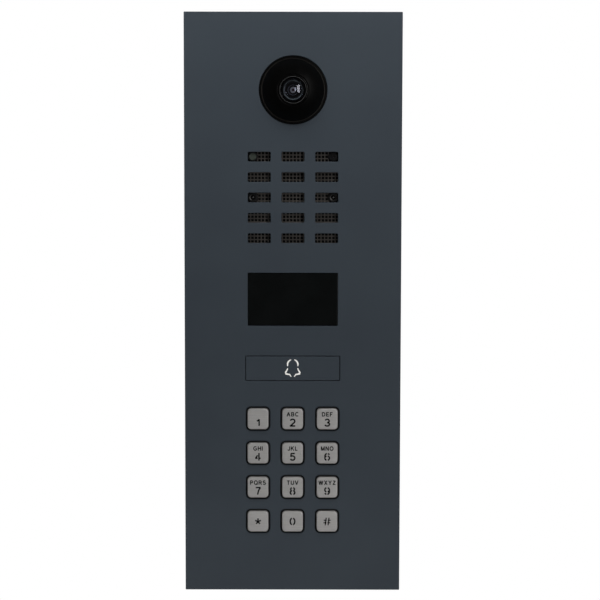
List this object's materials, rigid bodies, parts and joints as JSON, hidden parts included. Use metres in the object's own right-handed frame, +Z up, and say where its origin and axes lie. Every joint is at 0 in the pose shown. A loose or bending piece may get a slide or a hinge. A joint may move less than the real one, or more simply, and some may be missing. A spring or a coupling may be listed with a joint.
{
  "type": "door intercom panel",
  "caption": "Tall wall-mounted door station with a dome camera, slotted speaker grille, display window, wide call button and telephone-style keypad in a flat front plate.",
  "frame": {"origin": "middle of the housing's back face, which lies on the wall", "axes": "+Z up, +Y into the wall, so the front faces -Y; +X to the right as seen from the street"},
  "size_m": [0.12, 0.0474, 0.322],
  "materials": {
    "coated_steel": "fine matt powder coat, dark grey",
    "stainless": "satin stainless steel",
    "zinc_steel": "zinc plated steel",
    "magnet": "plain plated steel",
    "foam": "closed-cell foam",
    "rubber": "matt silicone rubber",
    "dome_black": "polished black",
    "lens_black": "satin black",
    "lens_glass": "coated lens glass",
    "filter_glass": "blue-green filter glass",
    "circuit_board": "green solder mask",
    "sensor_chip": "dark glass-covered chip",
    "metal_cloth": "dark perforated sheet",
    "black_plastic": "moulded black plastic",
    "speaker_paper": "coated paper cone",
    "led_resin": "clear resin",
    "sensor_resin": "grey-green resin",
    "display_glass": "smoked hard-coated window",
    "display_case": "thin steel frame",
    "light_guide": "milky diffuser",
    "terminal_green": "moulded green plastic",
    "switch_red": "moulded red plastic",
    "white_nylon": "white nylon"
  },
  "bodies": {
    "panel": {"bezel_seal": "rubber", "bottom_bracket": "stainless", "button_frame": "black_plastic", "button_springs": "zinc_steel", "button_switch": "black_plastic", "cable_grommet": "rubber", "camera_bezel": "dome_black", "camera_board": "circuit_board", "camera_screws": "zinc_steel", "device_collars": "black_plastic", "display_bracket": "black_plastic", "display_panel": "display_case", "display_window": "display_glass", "front_lens": "lens_glass", "front_plate": "coated_steel", "grille_mesh": "metal_cloth", "housing": "coated_steel", "housing_gasket": "foam", "image_sensor": "sensor_chip", "inner_lens": "lens_glass", "ir_leds": "led_resin", "keypad_board": "circuit_board", "keypad_mat": "rubber", "lens_barrel": "lens_black", "lens_holder": "lens_black", "lens_ring": "lens_black", "light_sensor": "sensor_resin", "main_board": "circuit_board", "microphone": "magnet", "microphone_boot": "rubber", "plate_studs": "stainless", "processor_shield": "magnet", "rear_cover": "black_plastic", "security_screws": "stainless", "sensor_board": "circuit_board", "speaker_basket": "black_plastic", "speaker_cone": "speaker_paper", "speaker_magnet": "magnet", "stud_nuts": "zinc_steel", "tamper_switch": "switch_red", "terminal_block": "terminal_green", "terminal_screws": "zinc_steel", "top_hooks": "stainless"},
    "call_button": {"call_button_cap": "coated_steel", "bell_light_guide": "light_guide", "button_carrier": "black_plastic"},
    "filter": {"ir_cut_filter": "filter_glass"},
    "plunger": {"tamper_plunger": "white_nylon"},
    "key_1": {"key_1": "stainless"},
    "key_2": {"key_2": "stainless"},
    "key_3": {"key_3": "stainless"},
    "key_4": {"key_4": "stainless"},
    "key_5": {"key_5": "stainless"},
    "key_6": {"key_6": "stainless"},
    "key_7": {"key_7": "stainless"},
    "key_8": {"key_8": "stainless"},
    "key_9": {"key_9": "stainless"},
    "key_star": {"key_star": "stainless"},
    "key_0": {"key_0": "stainless"},
    "key_hash": {"key_hash": "stainless"}
  },
  "joints": [
    {"name": "key_1_press", "type": "slide", "parent": "panel", "child": "key_1", "axis": [0, 1, 0], "range_m": [0, 0.0008], "stiffness_N_per_m": 900, "springref_m": -0.0006, "deforming": ["keypad_mat"]},
    {"name": "key_2_press", "type": "slide", "parent": "panel", "child": "key_2", "axis": [0, 1, 0], "range_m": [0, 0.0008], "stiffness_N_per_m": 900, "springref_m": -0.0006, "deforming": ["keypad_mat"]},
    {"name": "key_3_press", "type": "slide", "parent": "panel", "child": "key_3", "axis": [0, 1, 0], "range_m": [0, 0.0008], "stiffness_N_per_m": 900, "springref_m": -0.0006, "deforming": ["keypad_mat"]},
    {"name": "key_4_press", "type": "slide", "parent": "panel", "child": "key_4", "axis": [0, 1, 0], "range_m": [0, 0.0008], "stiffness_N_per_m": 900, "springref_m": -0.0006, "deforming": ["keypad_mat"]},
    {"name": "key_5_press", "type": "slide", "parent": "panel", "child": "key_5", "axis": [0, 1, 0], "range_m": [0, 0.0008], "stiffness_N_per_m": 900, "springref_m": -0.0006, "deforming": ["keypad_mat"]},
    {"name": "key_6_press", "type": "slide", "parent": "panel", "child": "key_6", "axis": [0, 1, 0], "range_m": [0, 0.0008], "stiffness_N_per_m": 900, "springref_m": -0.0006, "deforming": ["keypad_mat"]},
    {"name": "key_7_press", "type": "slide", "parent": "panel", "child": "key_7", "axis": [0, 1, 0], "range_m": [0, 0.0008], "stiffness_N_per_m": 900, "springref_m": -0.0006, "deforming": ["keypad_mat"]},
    {"name": "key_8_press", "type": "slide", "parent": "panel", "child": "key_8", "axis": [0, 1, 0], "range_m": [0, 0.0008], "stiffness_N_per_m": 900, "springref_m": -0.0006, "deforming": ["keypad_mat"]},
    {"name": "key_9_press", "type": "slide", "parent": "panel", "child": "key_9", "axis": [0, 1, 0], "range_m": [0, 0.0008], "stiffness_N_per_m": 900, "springref_m": -0.0006, "deforming": ["keypad_mat"]},
    {"name": "key_star_press", "type": "slide", "parent": "panel", "child": "key_star", "axis": [0, 1, 0], "range_m": [0, 0.0008], "stiffness_N_per_m": 900, "springref_m": -0.0006, "deforming": ["keypad_mat"]},
    {"name": "key_0_press", "type": "slide", "parent": "panel", "child": "key_0", "axis": [0, 1, 0], "range_m": [0, 0.0008], "stiffness_N_per_m": 900, "springref_m": -0.0006, "deforming": ["keypad_mat"]},
    {"name": "key_hash_press", "type": "slide", "parent": "panel", "child": "key_hash", "axis": [0, 1, 0], "range_m": [0, 0.0008], "stiffness_N_per_m": 900, "springref_m": -0.0006, "deforming": ["keypad_mat"]},
    {"name": "call_button_press", "type": "slide", "parent": "panel", "child": "call_button", "axis": [0, 1, 0], "range_m": [0, 0.001], "stiffness_N_per_m": 900, "springref_m": -0.0006, "deforming": ["button_springs"]},
    {"name": "filter_slide", "type": "slide", "parent": "panel", "child": "filter", "axis": [1, 0, 0], "range_m": [0, 0.007]},
    {"name": "plunger_press", "type": "slide", "parent": "panel", "child": "plunger", "axis": [0, -1, 0], "range_m": [0, 0.0005], "stiffness_N_per_m": 300, "springref_m": -0.0005}
  ]
}
